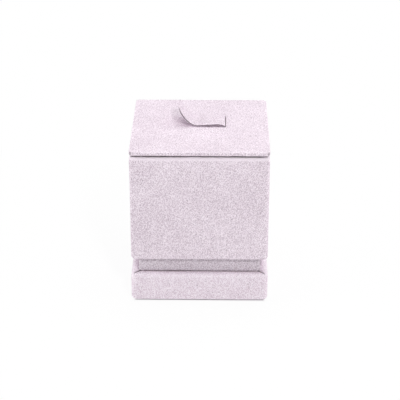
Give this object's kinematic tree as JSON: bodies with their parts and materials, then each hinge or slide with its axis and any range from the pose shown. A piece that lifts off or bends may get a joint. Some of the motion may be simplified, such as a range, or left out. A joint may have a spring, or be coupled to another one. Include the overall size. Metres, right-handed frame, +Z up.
{
  "type": "ring display box",
  "caption": "Small suede-covered ring display box on a stepped plinth, with a lined well, a lift-off lid and a curled spring tongue on top that holds a ring.",
  "frame": {"origin": "middle of the plinth, on the surface that the box stands on", "axes": "+Z up, -Y towards the front that the picture shows, +X to the viewer's right; the ring tongue's free end points to -X"},
  "size_m": [0.0604, 0.0604, 0.0816],
  "materials": {
    "suede": "pale pinkish lilac suede",
    "lining": "pale lilac flocked lining",
    "fibreboard": "raw fibreboard",
    "greyboard": "raw grey board",
    "felt": "thin pressed felt",
    "spring_steel": "rolled spring strip"
  },
  "bodies": {
    "box": {"base_felt": "felt", "base_board": "fibreboard", "base_wrap": "suede", "neck_board": "fibreboard", "neck_wrap": "suede", "floor_board": "greyboard", "front_board": "greyboard", "rear_board": "greyboard", "left_board": "greyboard", "right_board": "greyboard", "box_wrap": "suede", "front_lining": "lining", "rear_lining": "lining", "left_lining": "lining", "right_lining": "lining", "floor_lining": "lining"},
    "lid": {"lid_board": "greyboard", "lid_wrap": "suede", "lid_plug_board": "greyboard", "lid_plug_lining": "lining", "clip_spring_tail": "spring_steel", "clip_cover_root": "suede"},
    "clip": {"clip_spring_tongue": "spring_steel", "clip_cover_tongue": "suede"}
  },
  "joints": [
    {"name": "lid_lift", "type": "slide", "parent": "box", "child": "lid", "axis": [0, 0, 1], "range_m": [0, 0.05]},
    {"name": "clip_flex", "type": "hinge", "parent": "lid", "child": "clip", "pos_m": [0.00615, 0.00375, 0.0736], "axis": [0, 1, 0], "range_deg": [0, 30], "stiffness_Nm_per_rad": 0.05}
  ]
}
